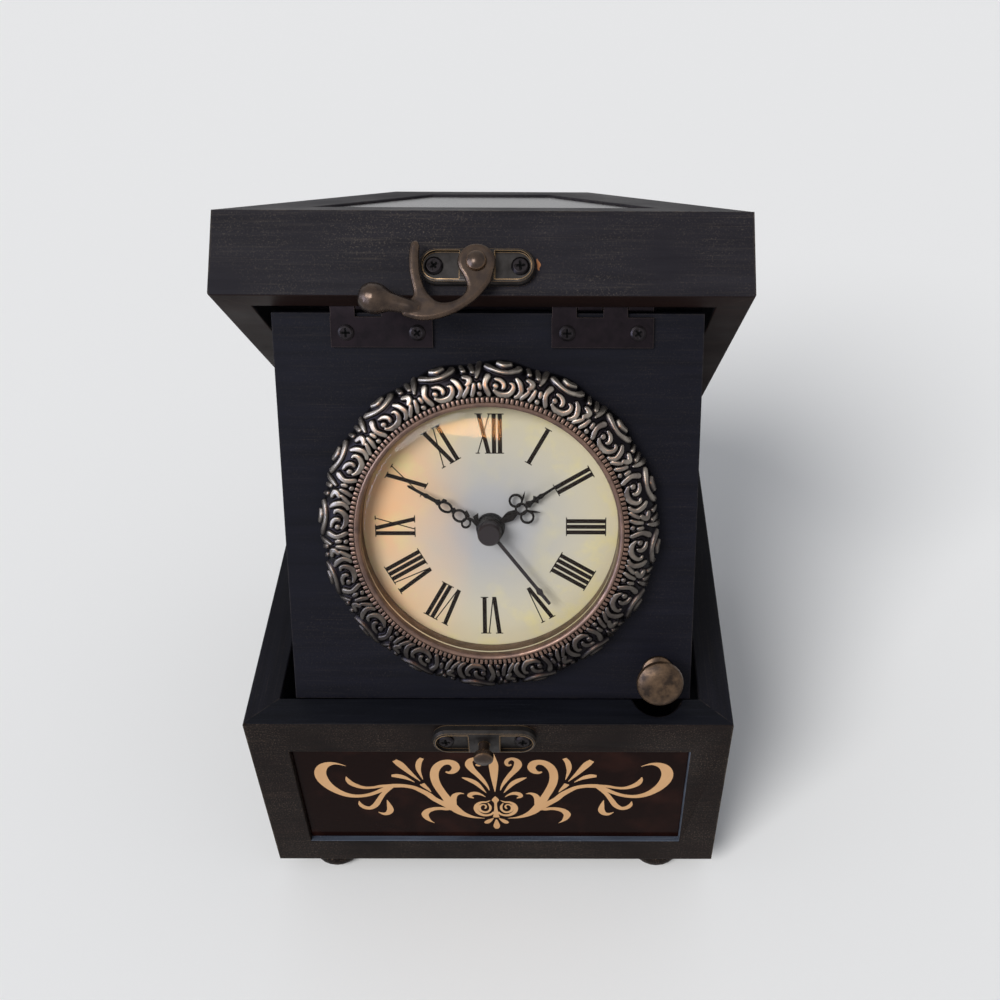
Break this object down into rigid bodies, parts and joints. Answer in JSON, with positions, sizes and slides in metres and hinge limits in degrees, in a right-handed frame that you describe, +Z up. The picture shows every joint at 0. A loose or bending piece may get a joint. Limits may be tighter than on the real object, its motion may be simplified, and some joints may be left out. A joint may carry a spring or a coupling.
{
  "type": "clock diversion safe",
  "caption": "Black wooden box with a hip-roofed lid, a fold-down clock panel that hides the compartment, and a swing-hook latch.",
  "frame": {"origin": "on the ground plane, centred under the bounding box of the opened safe", "axes": "+Z up, front with the latch and the printed panel towards -Y, +X to the right seen from the front"},
  "size_m": [0.15, 0.1792, 0.218],
  "materials": {
    "black_wood": "rubbed black lacquer with worn edges",
    "printed_lacquer": "glossy sheet printed with a gold scroll",
    "roof_print": "glossy dark printed sheet",
    "antique_brass": "antiqued, rubbed high spots",
    "antique_bronze": "dark antiqued",
    "copper": "satin copper colour",
    "dial_paper": "printed parchment",
    "clear_glass": "clear domed",
    "hand_metal": "dark bronze paint",
    "black_plastic": "moulded",
    "cell_jacket": "plain unprinted jacket"
  },
  "bodies": {
    "case": {"case_front_wall": "black_wood", "case_right_wall": "black_wood", "case_rear_wall": "black_wood", "case_left_wall": "black_wood", "case_floor": "black_wood", "front_inlay": "printed_lacquer", "foot_front_left": "black_wood", "foot_front_right": "black_wood", "foot_rear_left": "black_wood", "foot_rear_right": "black_wood", "panel_foot_strip": "black_wood", "catch_plate": "antique_bronze", "catch_screw_left": "antique_bronze", "catch_screw_right": "antique_bronze", "catch_stud": "antique_brass", "rear_hinge_left_case_leaf": "antique_bronze", "rear_hinge_left_pin": "antique_bronze", "rear_hinge_right_case_leaf": "antique_bronze", "rear_hinge_right_pin": "antique_bronze"},
    "lid": {"lid_front_rail": "black_wood", "lid_right_rail": "black_wood", "lid_rear_rail": "black_wood", "lid_left_rail": "black_wood", "lid_roof": "black_wood", "roof_inlay_front": "roof_print", "roof_inlay_right": "roof_print", "roof_inlay_rear": "roof_print", "roof_inlay_left": "roof_print", "rear_hinge_left_lid_leaf": "antique_bronze", "rear_hinge_right_lid_leaf": "antique_bronze", "latch_plate": "antique_bronze", "latch_screw_left": "antique_bronze", "latch_screw_right": "antique_bronze", "latch_rivet": "antique_brass", "panel_hinge_left_rail_leaf": "antique_bronze", "panel_hinge_left_pin": "antique_bronze", "panel_hinge_right_rail_leaf": "antique_bronze", "panel_hinge_right_pin": "antique_bronze"},
    "hook": {"latch_hook": "antique_brass"},
    "panel": {"clock_panel": "black_wood", "pull_knob": "antique_brass", "clock_bezel": "antique_brass", "milled_ring": "copper", "clock_glass": "clear_glass", "dial": "dial_paper", "movement_case": "black_plastic", "battery": "cell_jacket", "dial_nut": "antique_bronze", "panel_hinge_left_panel_leaf": "antique_bronze", "panel_hinge_left_screw_left": "antique_bronze", "panel_hinge_left_screw_right": "antique_bronze", "panel_hinge_right_panel_leaf": "antique_bronze", "panel_hinge_right_screw_left": "antique_bronze", "panel_hinge_right_screw_right": "antique_bronze"},
    "hour_hand": {"hour_hand": "hand_metal"},
    "minute_hand": {"minute_hand": "hand_metal"},
    "second_hand": {"second_hand": "hand_metal"},
    "setting_wheel": {"setting_wheel": "black_plastic"}
  },
  "joints": [
    {"name": "lid_hinge", "type": "hinge", "parent": "case", "child": "lid", "pos_m": [0, 0.07188, 0.08515], "axis": [-1, 0, 0], "range_deg": [-50.5, 0]},
    {"name": "clock_panel_fold", "type": "hinge", "parent": "lid", "child": "panel", "pos_m": [0, -0.01629, 0.1939], "axis": [-1, 0, 0], "range_deg": [-65.01, 0]},
    {"name": "latch_hook_turn", "type": "hinge", "parent": "lid", "child": "hook", "pos_m": [-0.0013, -0.02096, 0.21027], "axis": [0, -0.6361, 0.7716], "range_deg": [-301, 0]},
    {"name": "setting_wheel_turn", "type": "hinge", "parent": "panel", "child": "setting_wheel", "pos_m": [0.001, -0.01325, 0.13572], "axis": [0, 0.9025, -0.4307], "continuous": true},
    {"name": "minute_hand_turn", "type": "hinge", "parent": "panel", "child": "minute_hand", "pos_m": [0.001, -0.04888, 0.13721], "axis": [0, 0.9025, -0.4307], "continuous": true},
    {"name": "hour_hand_turn", "type": "hinge", "parent": "panel", "child": "hour_hand", "pos_m": [0.001, -0.04761, 0.13661], "axis": [0, 0.9025, -0.4307], "continuous": true},
    {"name": "second_hand_turn", "type": "hinge", "parent": "panel", "child": "second_hand", "pos_m": [0.001, -0.05014, 0.13782], "axis": [0, 0.9025, -0.4307], "continuous": true}
  ],
  "couplings": [
    {"joint": "clock_panel_fold", "follows": "lid_hinge", "ratio": 1.2874},
    {"joint": "minute_hand_turn", "follows": "setting_wheel_turn", "ratio": 1},
    {"joint": "hour_hand_turn", "follows": "setting_wheel_turn", "ratio": 0.083333}
  ]
}
